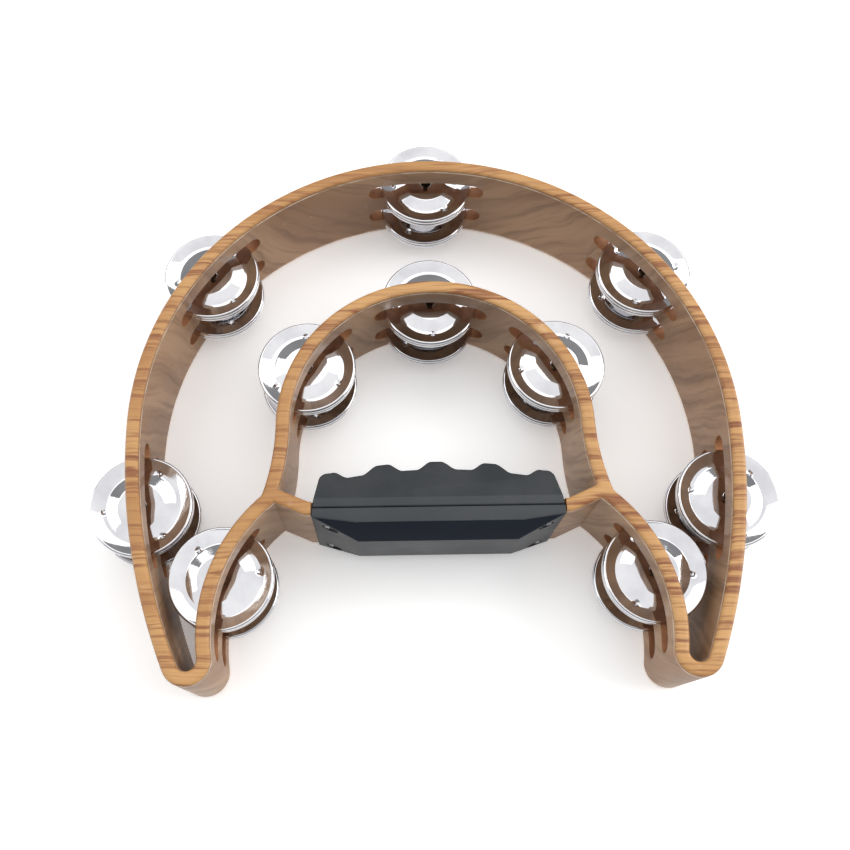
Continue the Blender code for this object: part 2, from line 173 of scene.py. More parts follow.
class NodeKit:
    # short calls for a node tree: shader or geometry
    def __init__(self, tree):
        self.tree = tree

    def add(self, kind, values=None, **settings):
        node = self.tree.nodes.new(kind)
        for key, value in settings.items():
            setattr(node, key, value)
        for key, value in (values or {}).items():
            if isinstance(value, bpy.types.NodeSocket):
                self.tree.links.new(value, node.inputs[key])
            else:
                node.inputs[key].default_value = value
        return node

    def math(self, operation, a, b=0.0, c=0.0):
        return self.add("ShaderNodeMath", {0: a, 1: b, 2: c}, operation=operation).outputs[0]

    def times(self, a, b):
        return self.math("MULTIPLY", a, b)

    def length(self, a, b):
        return self.math("SQRT", self.math("ADD", self.times(a, a), self.times(b, b)))

    def split(self, vector):
        return self.add("ShaderNodeSeparateXYZ", {0: vector}).outputs

    def join(self, x, y, z):
        return self.add("ShaderNodeCombineXYZ", {0: x, 1: y, 2: z}).outputs[0]

    def step(self, value, low, high, outLow=0.0, outHigh=1.0):
        node = self.add("ShaderNodeMapRange", {"Value": value}, interpolation_type="SMOOTHSTEP")
        for index, limit in enumerate((low, high, outLow, outHigh)):
            node.inputs[index + 1].default_value = limit
        return node.outputs[0]

    def noise(self, vector, scale, detail=3.0, rough=0.55):
        return self.add("ShaderNodeTexNoise", {
            "Vector": vector, "Scale": scale, "Detail": detail, "Roughness": rough,
        }).outputs[0]

    def stretch(self, vector, scale):
        return self.add("ShaderNodeMapping", {"Vector": vector, "Scale": scale}).outputs[0]

    def mix(self, amount, a, b, blend="MIX"):
        node = self.add("ShaderNodeMix", data_type="RGBA", blend_type=blend)
        for key, value in ((0, amount), (6, a), (7, b)):
            if isinstance(value, bpy.types.NodeSocket):
                self.tree.links.new(value, node.inputs[key])
            elif key:
                node.inputs[key].default_value = (*value, 1)
            else:
                node.inputs[key].default_value = value
        return node.outputs[2]

    def bump(self, height, strength, distance, normal=None):
        values = {"Height": height, "Strength": strength, "Distance": distance}
        if normal:
            values["Normal"] = normal
        return self.add("ShaderNodeBump", values).outputs[0]


def srgb(*levels):
    # 0-255 screen levels to linear
    return tuple((v / 255 / 12.92) if v < 11 else ((v / 255 + 0.055) / 1.055) ** 2.4 for v in levels)


def newMaterial(name, metallic=0.0, **fixed):
    material = bpy.data.materials.new(name)
    material.use_nodes = True
    kit = NodeKit(material.node_tree)
    shader = material.node_tree.nodes["Principled BSDF"]
    shader.inputs["Metallic"].default_value = metallic
    for key, value in fixed.items():
        shader.inputs[key.replace("_", " ")].default_value = value
    place = kit.add("ShaderNodeTexCoord").outputs["Object"]
    return material, kit, shader, place


def wire(kit, shader, **sockets):
    for key, socket in sockets.items():
        kit.tree.links.new(socket, shader.inputs[key.replace("_", " ")])


woodPrint = {
    "rimLight": srgb(203, 156, 101),
    "rimTan": srgb(181, 132, 80),
    "rimBand": srgb(132, 76, 46),
    "wallLight": srgb(168, 133, 101),
    "wallTan": srgb(144, 109, 79),
    "wallStreak": srgb(108, 77, 54),
    # pale tone for the painted highlight along the rim edges and for random scuffs
    "highlightAndScuff": srgb(236, 218, 198),
    "core": srgb(170, 117, 78),
    "coreDark": srgb(136, 88, 56),
    "roughness": 0.42,
}


def woodPrintMaterial(height, rimRound):
    material, kit, shader, place = newMaterial("woodPrint", Specular_IOR_Level=0.42)
    x, y, z = kit.split(place)
    normalZ = kit.split(kit.add("ShaderNodeNewGeometry").outputs["Normal"])[2]
    rim = kit.step(kit.math("ABSOLUTE", normalZ), 0.25, 0.72)
    # grain runs along X: everything is drawn out that way
    drift = kit.noise(kit.stretch(place, (7, 16, 16)), 1.0, 3)
    wander = kit.times(kit.math("SUBTRACT", drift, 0.5), 0.016)
    grainY = kit.math("ADD", y, wander)
    grain = kit.join(x, grainY, z)
    bands = kit.noise(kit.stretch(grain, (14, 240, 48)), 1.0, 4, 0.62)
    fine = kit.noise(kit.stretch(grain, (30, 900, 240)), 1.0, 4, 0.6)
    wide = kit.noise(kit.stretch(grain, (5, 34, 12)), 1.0, 2)
    bandMask = kit.times(kit.step(bands, 0.51, 0.61), kit.step(wide, 0.34, 0.52))
    rimBase = kit.mix(kit.step(wide, 0.3, 0.7), woodPrint["rimTan"], woodPrint["rimLight"])
    rimFine = kit.mix(kit.step(fine, 0.45, 0.70, 0.0, 0.42), rimBase, woodPrint["rimBand"])
    hair = kit.noise(kit.stretch(grain, (18, 520, 90)), 1.0, 2)
    thin = kit.times(kit.step(hair, 0.58, 0.66), 0.62)
    bandShade = kit.times(bandMask, kit.step(fine, 0.3, 0.6, 0.5, 0.95))
    rimColour = kit.mix(kit.math("MAXIMUM", bandShade, thin), rimFine, woodPrint["rimBand"])
    # walls: greyer film, stretched over the side, with thin slanting streaks
    slant = kit.join(x, kit.math("ADD", grainY, kit.times(z, 0.35)), z)
    streaks = kit.noise(kit.stretch(slant, (18, 330, 14)), 1.0, 4, 0.6)
    broad = kit.noise(kit.stretch(slant, (7, 80, 7)), 1.0, 3)
    wallBase = kit.mix(kit.step(broad, 0.38, 0.6), woodPrint["wallTan"], woodPrint["wallLight"])
    wallColour = kit.mix(kit.step(streaks, 0.46, 0.7, 0.0, 0.6), wallBase, woodPrint["wallStreak"])
    colour = kit.mix(rim, wallColour, rimColour)
    # painted highlight: a pale broken line where the rims' rounding meets the walls
    fromMiddle = kit.math("ABSOLUTE", kit.math("SUBTRACT", z, height / 2))
    edge = kit.math("ABSOLUTE", kit.math("SUBTRACT", fromMiddle, height / 2 - rimRound))
    broken = kit.step(kit.noise(place, 130.0, 3), 0.36, 0.6, 0.25, 0.9)
    edgeHighlight = kit.times(kit.step(edge, 0.00015, 0.00045, 1.0, 0.0), broken)
    colour = kit.mix(edgeHighlight, colour, woodPrint["highlightAndScuff"])
    # random scuffs in the same pale tone
    scuff = kit.step(kit.noise(place, 75.0, 5, 0.7), 0.62, 0.78, 0.0, 0.22)
    colour = kit.mix(scuff, colour, woodPrint["highlightAndScuff"])
    rough = kit.times(kit.noise(place, 240.0, 3), 0.16)
    rough = kit.math("ADD", rough, woodPrint["roughness"] - 0.06)
    pores = kit.bump(fine, 0.22, 0.0002)
    skin = kit.bump(kit.noise(place, 900.0, 2), 0.1, 0.0002, pores)
    wire(kit, shader, Base_Color=colour, Roughness=rough, Normal=skin)
    return material


def mouldedCoreMaterial():
    # bare plastic inside the slots, with tool marks
    material, kit, shader, place = newMaterial("mouldedCore", Specular_IOR_Level=0.4)
    mottled = kit.noise(kit.stretch(place, (120, 120, 60)), 1.0, 4)
    colour = kit.mix(kit.step(mottled, 0.32, 0.7), woodPrint["coreDark"], woodPrint["core"])
    marks = kit.noise(kit.stretch(place, (60, 60, 900)), 1.0, 3)
    wire(kit, shader, Base_Color=colour, Roughness=kit.step(marks, 0.3, 0.7, 0.42, 0.6),
         Normal=kit.bump(marks, 0.25, 0.0002))
    return material


plan = {
    "wall": 0.0060,
    "rimRound": 0.0019,
    "barCut": 0.006,  # how far each side of the crossbar its cutters reach
    "archRadius": 0.1276,
    "archY": 0.0018,
    "sideRadius": 0.2534,
    "tipRadius": 0.0069,
    "legX": 0.0252,
    "legY": -0.0850,
    "legRadius": 0.0688,
    "innerRadius": 0.0649,
    "flareRadius": 0.105,
    "crotchFillet": 0.003,
    "barY": -0.0372,
    "barBendX": 0.0543,
    "barSlope": math.radians(24),
    "chord": 0.0022,  # length of a facet along the walls
    "turn": math.radians(6),
}
slotSizes = {
    "height": 0.0090,
    "outer": 0.0555,
    "inner": 0.0516,
    "low": 0.0564,
    "lowShift": 0.0042,
    "reach": 0.0010,
    "endSteps": 14,
    "edge": 0.00035,
}
pinPlaces = {
    "outer_top": ("arch", 90), "inner_top": ("inner", 90),
    "outer_high": ("arch", 37.6), "outer_side": ("side", -7.5),
    "inner_side": ("inner", 30), "low": ("leg", 19),
}
halfWall = plan["wall"] / 2
frameLow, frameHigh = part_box("frame")
frameHeight = frameHigh.z - frameLow.z
midZ = frameHeight / 2
planY = boxCentre("pin_outer_top").y - plan["archY"] - plan["archRadius"]
rowHeights = {}
for rowName in ("lower", "upper"):
    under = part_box(f"jingle_outer_top_{rowName}_under")[0].z
    rowHeights[rowName] = under - clearance + slotSizes["height"] / 2


def polar(centre, radius, angle):
    return Vector((centre[0] + radius * math.cos(angle), centre[1] + radius * math.sin(angle)))


def angleTo(centre, point):
    return math.atan2(point[1] - centre[1], point[0] - centre[0])


def meetCircles(first, firstRadius, second, secondRadius, side):
    first, second = Vector(first), Vector(second)
    gap = second - first
    along = (firstRadius**2 - secondRadius**2 + gap.length_squared) / (2 * gap.length)
    across = math.sqrt(firstRadius**2 - along**2)
    unit = gap.normalized()
    return first + along * unit + side * across * Vector((-unit.y, unit.x))


def meetLine(centre, radius, point, direction, side):
    offset = Vector(point) - Vector(centre)
    half = offset.dot(direction)
    reach = -half + side * math.sqrt(half**2 - offset.length_squared + radius**2)
    return Vector(point) + reach * direction


def arc(centre, radius, start, end):
    turn = abs(end - start)
    count = max(2, math.ceil(turn * radius / plan["chord"]), math.ceil(turn / plan["turn"]))
    return [polar(centre, radius, start + (end - start) * i / count) for i in range(count + 1)]


def mirrored(points):
    return [Vector((-p.x, p.y)) for p in reversed(points)]


def roundCorner(before, corner, after, radius, steps=6):
    # a corner turned into an arc
    toBefore = (before - corner).normalized()
    toAfter = (after - corner).normalized()
    half = toBefore.angle(toAfter) / 2
    centre = corner + (toBefore + toAfter).normalized() * radius / math.sin(half)
    first = angleTo(centre, corner + toBefore * radius / math.tan(half))
    last = angleTo(centre, corner + toAfter * radius / math.tan(half))
    sweep = math.remainder(last - first, math.tau)
    return [polar(centre, radius, first + sweep * i / steps) for i in range(steps + 1)]


archCentre = Vector((0, plan["archY"]))
innerCentre = Vector((0, 0))
sideCentre = Vector((plan["archRadius"] - plan["sideRadius"], plan["archY"]))
legCentre = Vector((plan["legX"], plan["legY"]))
flareCentre = Vector((plan["innerRadius"] + plan["flareRadius"], 0))
tipCentre = meetCircles(
    sideCentre, plan["sideRadius"] - plan["tipRadius"], legCentre, plan["legRadius"] + plan["tipRadius"], 1
)
barBend = Vector((plan["barBendX"], plan["barY"]))
barAlong = Vector((math.cos(plan["barSlope"]), math.sin(plan["barSlope"])))
barAcross = Vector((-barAlong.y, barAlong.x))
bendHalf = halfWall * math.tan(plan["barSlope"] / 2)
sideEnd = angleTo(sideCentre, tipCentre)
legStart = angleTo(legCentre, tipCentre)


def outerOutline():
    leg = plan["legRadius"] - halfWall
    corner = meetLine(legCentre, leg, barBend - barAcross * halfWall, barAlong, 1)
    half = arc(archCentre, plan["archRadius"] + halfWall, math.pi / 2, 0)
    half += arc(sideCentre, plan["sideRadius"] + halfWall, 0, sideEnd)[1:]
    half += arc(tipCentre, plan["tipRadius"] + halfWall, sideEnd, legStart - math.pi)[1:]
    half += arc(legCentre, leg, legStart, angleTo(legCentre, corner))[1:]
    half.append(Vector((plan["barBendX"] + bendHalf, plan["barY"] - halfWall)))
    return half + mirrored(half)[:-1]


def crescentOutline():
    legFace, flareFace = plan["legRadius"] + halfWall, plan["flareRadius"] - halfWall
    fillet = plan["crotchFillet"]
    crotch = meetCircles(flareCentre, flareFace - fillet, legCentre, legFace + fillet, -1)
    half = arc(archCentre, plan["archRadius"] - halfWall, math.pi / 2, 0)
    half += arc(sideCentre, plan["sideRadius"] - halfWall, 0, sideEnd)[1:]
    half += arc(tipCentre, plan["tipRadius"] - halfWall, sideEnd, legStart - math.pi)[1:]
    half += arc(legCentre, legFace, legStart, angleTo(legCentre, crotch))[1:]
    first, last = angleTo(crotch, legCentre), angleTo(flareCentre, crotch)
    half += arc(crotch, fillet, first, first + math.remainder(last - first, math.tau))[1:]
    half += arc(flareCentre, flareFace, last % math.tau, math.pi)[1:]
    half += arc(innerCentre, plan["innerRadius"] + halfWall, 0, math.pi / 2)[1:]
    return half[:-1] + mirrored(half)[:-1]


def handOutline():
    start = barBend + barAcross * halfWall
    corner = meetLine(flareCentre, plan["flareRadius"] + halfWall, start, barAlong, -1)
    half = arc(innerCentre, plan["innerRadius"] - halfWall, math.pi / 2, 0)
    last = angleTo(flareCentre, corner) % math.tau
    half += arc(flareCentre, plan["flareRadius"] + halfWall, math.pi, last)[1:]
    half.append(Vector((plan["barBendX"] - bendHalf, plan["barY"] + halfWall)))
    return half + mirrored(half)[:-1]


def placeArc(place):
    # arc centre, radius, pin angle, slot angle and slot length, for either hand
    name, hand = place.rsplit("_", 1) if place.endswith(("left", "right")) else (place, "")
    wallName, degrees = pinPlaces[name]
    centre, radius, length = {
        "arch": (archCentre, plan["archRadius"], slotSizes["outer"]),
        "side": (sideCentre, plan["sideRadius"], slotSizes["outer"]),
        "inner": (innerCentre, plan["innerRadius"], slotSizes["inner"]),
        "leg": (legCentre, plan["legRadius"], slotSizes["low"]),
    }[wallName]
    pinAngle = math.radians(degrees)
    slotAngle = pinAngle - (slotSizes["lowShift"] / radius if wallName == "leg" else 0)
    if hand == "left":
        centre = Vector((-centre.x, centre.y))
        pinAngle, slotAngle = math.pi - pinAngle, math.pi - slotAngle
    return centre, radius, pinAngle, slotAngle, length


def slotCutter(place, row):
    centre, radius, _, angle, length = placeArc(place)
    endRadius = slotSizes["height"] / 2
    run = length / 2 - endRadius
    steps = slotSizes["endSteps"]
    end = [i * math.pi / steps - math.pi / 2 for i in range(steps + 1)]
    outline = [Vector((run + endRadius * math.cos(a), endRadius * math.sin(a))) for a in end]
    outline += [-point for point in outline]
    near = math.sqrt((radius - halfWall)**2 - (length / 2)**2) - slotSizes["reach"]
    far = radius + halfWall + slotSizes["reach"]
    cutter = plate(f"slot_{place}_{row}", [outline], far - near)
    middle = polar(centre, (near + far) / 2, angle)
    cutter.matrix_world = (
        Matrix.Translation((middle.x, middle.y, rowHeights[row]))
        @ Matrix.Rotation(angle - math.pi / 2, 4, "Z") @ Matrix.Rotation(math.pi / 2, 4, "X")
    )
    return cutter


places = [name[4:] for name in nodes if name.startswith("pin_")]
places.sort()


def makeFrame():
    finish, core = woodPrintMaterial(frameHeight, plan["rimRound"]), mouldedCoreMaterial()
    shell = plate("woodFrame", [outerOutline(), crescentOutline(), handOutline()],
                  frameHeight, plan["rimRound"], 4)
    shell.location = (0, 0, midZ)
    shell.data.materials.append(finish)
    bpy.context.view_layer.update()
    cutters = [slotCutter(place, row) for place in places for row in rowHeights]
    for place in places:
        centre, radius, angle, _, _ = placeArc(place)
        x, y = polar(centre, radius, angle)
        below = (x, y, -overshoot)
        cutters.append(rod("bore", pinShape["radius"] + clearance, below, (x, y, pinTop + clearance), 24))
        cutters.append(rod("seat", pinShape["headRadius"] + clearance, below, (x, y, pinShape["seat"])))
    barLow, barHigh = neckHeights()
    notch = gripLength / 2 + clearance
    front, back = plan["barY"] - plan["barCut"], plan["barY"] + plan["barCut"]
    for low, high in ((-overshoot, barLow), (barHigh, frameHeight + overshoot)):
        cutters.append(hull("notch", [
            (x, y, z) for x in (-notch, notch) for y in (front, back) for z in (low, high)
        ]))
    for x, z in screwPlaces:
        cutters.append(rod("screwHole", gripShape["hole"], (x, front, z), (x, back, z)))
    bpy.context.view_layer.update()
    tools = joined(cutters)
    tools.data.materials.append(core)
    cut = cutWith(shell, tools)
    cut.material_mode = "TRANSFER"
    bake(shell)
    bpy.data.objects.remove(tools)
    shell.data.transform(Matrix.Translation((0, planY, 0)))
    addModifier(shell, "BEVEL", width=slotSizes["edge"], segments=2, limit_method="ANGLE",
                angle_limit=math.radians(55), use_clamp_overlap=True, harden_normals=False)
    bake(shell)
    shade(shell, 32)
    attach(shell, "frame")
    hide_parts("frame")
    print("frame:", len(shell.data.polygons), "faces, slots", 2 * len(places))


jingleShape = {
    "radius": 0.0219,
    "hole": 0.0024,
    "rise": 0.0021,
    "sheet": 0.00042,
    "discRadius": 0.0098,
    "coneFoot": 0.0145,
    "grooveHeight": 0.0005,
    "ringRadius": 0.0159,
    "flangeStart": 0.0165,
    "flangeEnd": 0.0208,
    "lipHeight": 0.0020,
    "nibRadius": 0.0016,
    "nibHeight": 0.00085,
    "nibCount": 3,
    "segments": 144,
    "spinRadius": 0.0120,
}
chromeTone = {
    "bright": srgb(222, 222, 225),
    "grey": srgb(204, 204, 208),
    "roughness": 0.035,
}


def chromeMaterial():
    material, kit, shader, place = newMaterial("jingleChrome", 1.0)
    cloud = kit.noise(place, 55.0, 3)
    colour = kit.mix(kit.step(cloud, 0.35, 0.7), chromeTone["bright"], chromeTone["grey"])
    hair = kit.noise(kit.stretch(place, (1400, 1400, 260)), 1.0, 2)
    rough = kit.math("ADD", kit.step(kit.noise(place, 210.0, 4, 0.65), 0.4, 0.85, 0.0, 0.10),
                     chromeTone["roughness"])
    ripple = kit.bump(kit.noise(place, 80.0, 2), 0.16, 0.00014)
    wire(kit, shader, Base_Color=colour, Roughness=rough, Normal=kit.bump(hair, 0.06, 0.0001, ripple))
    return material


def jingleSection():
    # outer face: raised disc, cone, groove, rising flange and turned-down lip; then back inside
    s = jingleShape
    top, disc, foot, groove = s["rise"], s["discRadius"], s["coneFoot"], s["grooveHeight"]
    start, end, lip, edge = s["flangeStart"], s["flangeEnd"], s["lipHeight"], s["radius"]
    face = [
        (s["hole"], top - 0.00016), (s["hole"] + 0.00010, top - 0.00004), (s["hole"] + 0.0003, top),
        (disc - 0.003, top), (disc - 0.0006, top), (disc - 0.0002, top - 0.00003),
        (disc + 0.0001, top - 0.00009), (disc + 0.0004, top - 0.00018),
    ]
    high = face[-1]
    steps = 8
    for i in range(1, steps + 1):
        t = i / steps
        face.append((high[0] + (foot - high[0]) * t, high[1] + (groove + 0.00012 - high[1]) * t))
    face += [(foot + 0.0002, groove + 0.00005), (foot + 0.0005, groove)]
    face += [(foot + 0.0005 + 0.0003 * i, groove) for i in range(1, 4)]
    face += [(start - 0.0001, groove + 0.00003), (start + 0.0002, groove + 0.0001)]
    low = face[-1]
    for i in range(1, steps + 1):
        t = i / steps
        face.append((low[0] + (end - low[0]) * t, low[1] + (lip - low[1]) * (0.8 * t + 0.2 * t * t)))
    turn = len(face)
    roll = edge - end - 0.0002
    for i in range(1, 6):
        a = math.radians(112 - 22 * i)
        face.append((edge - roll + roll * math.cos(a), lip - roll * 0.9 + roll * math.sin(a)))
    face += [
        (edge, lip - roll), (edge, 0.0010), (edge, 0.00012), (edge - 0.00006, 0.00003),
        (edge - 0.00016, 0.0), (edge - 0.00030, 0.00003), (edge - s["sheet"], 0.00012),
        (edge - s["sheet"], lip - roll - 0.0001), (end + 0.0001, lip - s["sheet"]),
    ]
    back = [(r, z - s["sheet"]) for r, z in reversed(face[:turn - 1])]
    return face + back


def jingleTree(finish):
    # a section swept round the pin, with nibs punched up along the ring
    tree = bpy.data.node_groups.new("pressedJingle", "GeometryNodeTree")
    for name, kind in (("Section", "NodeSocketObject"), ("Spin Radius", "NodeSocketFloat"),
                       ("Nib Ring", "NodeSocketFloat"), ("Nib Radius", "NodeSocketFloat"),
                       ("Nib Height", "NodeSocketFloat"), ("Nib Count", "NodeSocketFloat"),
                       ("Segments", "NodeSocketInt")):
        tree.interface.new_socket(name, in_out="INPUT", socket_type=kind)
    tree.interface.new_socket("Geometry", in_out="OUTPUT", socket_type="NodeSocketGeometry")
    kit = NodeKit(tree)
    given = kit.add("NodeGroupInput").outputs
    section = kit.add("GeometryNodeObjectInfo", {"Object": given["Section"]}).outputs["Geometry"]
    path = kit.add("GeometryNodeCurvePrimitiveCircle",
                   {"Resolution": given["Segments"], "Radius": given["Spin Radius"]}).outputs[0]
    swept = kit.add("GeometryNodeCurveToMesh", {"Curve": path, "Profile Curve": section}).outputs[0]
    place = kit.add("GeometryNodeInputPosition").outputs[0]
    x, y, _ = kit.split(place)
    radius = kit.length(x, y)
    angle = kit.math("ARCTAN2", y, x)
    share = kit.math("DIVIDE", math.tau, given["Nib Count"])
    local = kit.math("WRAP", angle, kit.times(share, 0.5), kit.times(share, -0.5))
    across = kit.times(local, given["Nib Ring"])
    along = kit.math("SUBTRACT", radius, given["Nib Ring"])
    away = kit.length(across, along)
    near = kit.math("SUBTRACT", 1.0, kit.math("MINIMUM", kit.math("DIVIDE", away, given["Nib Radius"]), 1.0))
    ease = kit.math("SUBTRACT", 3.0, kit.times(near, 2.0))
    dome = kit.times(kit.times(near, near), ease)
    lift = kit.times(dome, given["Nib Height"])
    offset = kit.join(0.0, 0.0, lift)
    raised = kit.add("GeometryNodeSetPosition", {"Geometry": swept, "Offset": offset}).outputs[0]
    real = kit.add("GeometryNodeRealizeInstances", {0: raised}).outputs[0]
    made = kit.add("GeometryNodeSetMaterial", {"Geometry": real, "Material": finish}).outputs[0]
    tree.links.new(made, kit.add("NodeGroupOutput").inputs[0])
    return tree


def setInputs(modifier, **values):
    sockets = {i.name: i.identifier for i in modifier.node_group.interface.items_tree if i.in_out == "INPUT"}
    for name, value in values.items():
        modifier[sockets[name.replace("_", " ")]] = value


def pressedMesh(finish):
    s = jingleShape
    curve = bpy.data.curves.new("jingleSection", "CURVE")
    curve.dimensions = "2D"
    curve.fill_mode = "NONE"
    spline = curve.splines.new("POLY")
    points = jingleSection()
    spline.points.add(len(points) - 1)
    for point, (r, z) in zip(spline.points, points):
        point.co = (r - s["spinRadius"], z, 0, 1)
    spline.use_cyclic_u = True
    section = newObject("jingleSection", curve)
    blank = newObject("jingleBlank", bpy.data.meshes.new("jingleBlank"))
    modifier = blank.modifiers.new("press", "NODES")
    modifier.node_group = jingleTree(finish)
    setInputs(modifier, Section=section, Spin_Radius=s["spinRadius"], Nib_Ring=s["ringRadius"],
              Nib_Radius=s["nibRadius"], Nib_Height=s["nibHeight"], Nib_Count=float(s["nibCount"]),
              Segments=s["segments"])
    mesh = plainMesh(blank, "pressedJingle")
    bpy.data.objects.remove(blank)
    bpy.data.objects.remove(section)
    bm = bmesh.new()
    bm.from_mesh(mesh)
    bmesh.ops.remove_doubles(bm, verts=bm.verts, dist=1e-7)
    if sum(v.co.z for v in bm.verts) < 0:
        bmesh.ops.scale(bm, vec=(1, 1, -1), verts=bm.verts)
    bmesh.ops.recalc_face_normals(bm, faces=bm.faces)
    bm.to_mesh(mesh)
    bm.free()
    mesh.shade_smooth()
    mesh.set_sharp_from_angle(angle=math.radians(50))
    return mesh


def makeJingles():
    finish = chromeMaterial()
    pressed = pressedMesh(finish)
    draw = random.Random(11)
    names = sorted(name for name in nodes if name.startswith("jingle_"))
    for name in names:
        low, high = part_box(name)
        over = name.endswith("_over")
        mesh = pressed.copy()
        turn = Matrix.Rotation(draw.uniform(0, math.tau), 4, "Z")
        flip = Matrix.Identity(4) if over else Matrix.Rotation(math.pi, 4, "X")
        rim = low.z if over else high.z
        middle = (low + high) / 2
        mesh.transform(Matrix.Translation((middle.x, middle.y, rim)) @ flip @ turn)
        jingle = newObject("chrome_" + name, mesh)
        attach(jingle, name)
        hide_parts(name)
    print("jingles:", len(names), "of", len(pressed.polygons), "faces")


pinShape = {
    "radius": 0.0009,
    "headRadius": 0.0020,
    "headHeight": 0.0009,
    "seat": 0.0015,
}
screwShape = {
    "headRadius": 0.0028,
    "headHeight": 0.0020,
    "shank": 0.0014,
    "length": 0.0140,
    "cross": 0.0017,
    "crossWidth": 0.0007,
    "crossDepth": 0.0011,
}
steelTone = {
    "pin": srgb(150, 134, 112),
    "pinDark": srgb(96, 80, 62),
    "screw": srgb(176, 176, 178),
    "screwDark": srgb(104, 104, 108),
}
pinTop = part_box("pin_outer_top")[1].z
screwNodes = sorted(name for name in nodes if name.startswith("grip_screw"))
screwPlaces = [(boxCentre(name).x, boxCentre(name).z) for name in screwNodes]


def steelMaterial(name, light, dark, roughness):
    material, kit, shader, place = newMaterial(name, 1.0)
    stain = kit.noise(kit.stretch(place, (500, 500, 120)), 1.0, 4)
    drawn = kit.noise(kit.stretch(place, (2600, 2600, 90)), 1.0, 2)
    wire(kit, shader, Base_Color=kit.mix(kit.step(stain, 0.35, 0.7), light, dark),
         Roughness=kit.step(stain, 0.3, 0.75, roughness, roughness + 0.2),
         Normal=kit.bump(drawn, 0.2, 0.0001))
    return material


def scatterTree(name, finish):
    # one shape set down at every point of a cloud
    tree = bpy.data.node_groups.new(name, "GeometryNodeTree")
    for socket, kind in (("Points", "NodeSocketObject"), ("Shape", "NodeSocketObject")):
        tree.interface.new_socket(socket, in_out="INPUT", socket_type=kind)
    tree.interface.new_socket("Geometry", in_out="OUTPUT", socket_type="NodeSocketGeometry")
    kit = NodeKit(tree)
    given = kit.add("NodeGroupInput").outputs
    points = kit.add("GeometryNodeObjectInfo", {"Object": given["Points"]}).outputs["Geometry"]
    shape = kit.add("GeometryNodeObjectInfo", {"Object": given["Shape"]}).outputs["Geometry"]
    placed = kit.add("GeometryNodeInstanceOnPoints", {"Points": points, "Instance": shape}).outputs[0]
    real = kit.add("GeometryNodeRealizeInstances", {0: placed}).outputs[0]
    made = kit.add("GeometryNodeSetMaterial", {"Geometry": real, "Material": finish}).outputs[0]
    tree.links.new(made, kit.add("NodeGroupOutput").inputs[0])
    return tree


def scattered(name, shape, points, finish):
    cloud = bpy.data.meshes.new(name + "Points")
    cloud.from_pydata(points, [], [])
    cloudObject = newObject(name + "Points", cloud)
    holder = newObject(name, bpy.data.meshes.new(name))
    modifier = holder.modifiers.new("scatter", "NODES")
    modifier.node_group = scatterTree(name + "Set", finish)
    setInputs(modifier, Points=cloudObject, Shape=shape)
    bake(holder)
    bpy.data.objects.remove(cloudObject)
    bpy.data.objects.remove(shape)
    return shade(holder)


def turnedShape(name, profile, sides=32):
    # profile from the top of the axis down the outer side to the bottom of the axis
    bm = bmesh.new()
    corners = [bm.verts.new((radius, 0, height)) for radius, height in profile]
    edges = [bm.edges.new(pair) for pair in zip(corners, corners[1:])]
    bmesh.ops.spin(bm, geom=corners + edges, cent=(0, 0, 0), axis=(0, 0, 1), angle=math.tau, steps=sides)
    bmesh.ops.remove_doubles(bm, verts=bm.verts, dist=1e-6)
    bmesh.ops.recalc_face_normals(bm, faces=bm.faces)
    mesh = bpy.data.meshes.new(name)
    bm.to_mesh(mesh)
    bm.free()
    return newObject(name, mesh)


def makePins():
    s = pinShape
    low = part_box("pin_outer_top")[0].z
    point = pinTop - 2.2 * s["radius"]
    head = low + s["headHeight"]
    nail = turnedShape("nail", [
        (0, pinTop), (s["radius"] * 0.3, pinTop - 0.3 * s["radius"]), (s["radius"], point),
        (s["radius"], head + 0.0002), (s["radius"] * 1.3, head), (s["headRadius"] * 0.9, head),
        (s["headRadius"], head - 0.0002), (s["headRadius"], low + 0.0002),
        (s["headRadius"] * 0.9, low), (0, low),
    ], 24)
    finish = steelMaterial("nailSteel", steelTone["pin"], steelTone["pinDark"], 0.28)
    points = [(*boxCentre("pin_" + place).xy, 0) for place in places]
    pins = scattered("nailPins", nail, points, finish)
    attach(pins, "frame")
    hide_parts(*("pin_" + place for place in places))
    print("pins:", len(points))


def makeScrews():
    s = screwShape
    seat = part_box(screwNodes[0])[0].y + s["headHeight"]
    headTop = s["headHeight"]
    screw = turnedShape("panScrew", [
        (0, headTop), (s["headRadius"] * 0.45, headTop * 0.97), (s["headRadius"] * 0.75, headTop * 0.84),
        (s["headRadius"] * 0.93, headTop * 0.55), (s["headRadius"], headTop * 0.2), (s["headRadius"], 0.0),
        (s["shank"], 0.0), (s["shank"], 0.001 - s["length"]), (0, -s["length"] + 0.0003),
    ], 40)
    bars = [hull("cross", [
        (x, y, z) for x in (-a, a) for y in (-b, b) for z in (headTop - s["crossDepth"], headTop * 2)
    ]) for a, b in ((s["cross"], s["crossWidth"] / 2), (s["crossWidth"] / 2, s["cross"]))]
    cutWith(bars[0], bars[1], "UNION")
    bake(bars[0])
    cutWith(screw, bars[0])
    bake(screw)
    screw.data.transform(Matrix.Rotation(math.pi / 2, 4, "X"))
    for bar in bars:
        bpy.data.objects.remove(bar)
    finish = steelMaterial("screwSteel", steelTone["screw"], steelTone["screwDark"], 0.25)
    points = [(x, seat, z) for x, z in screwPlaces]
    screws = scattered("gripScrews", screw, points, finish)
    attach(screws, "frame")
    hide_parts(*screwNodes)
    print("screws:", len(points))


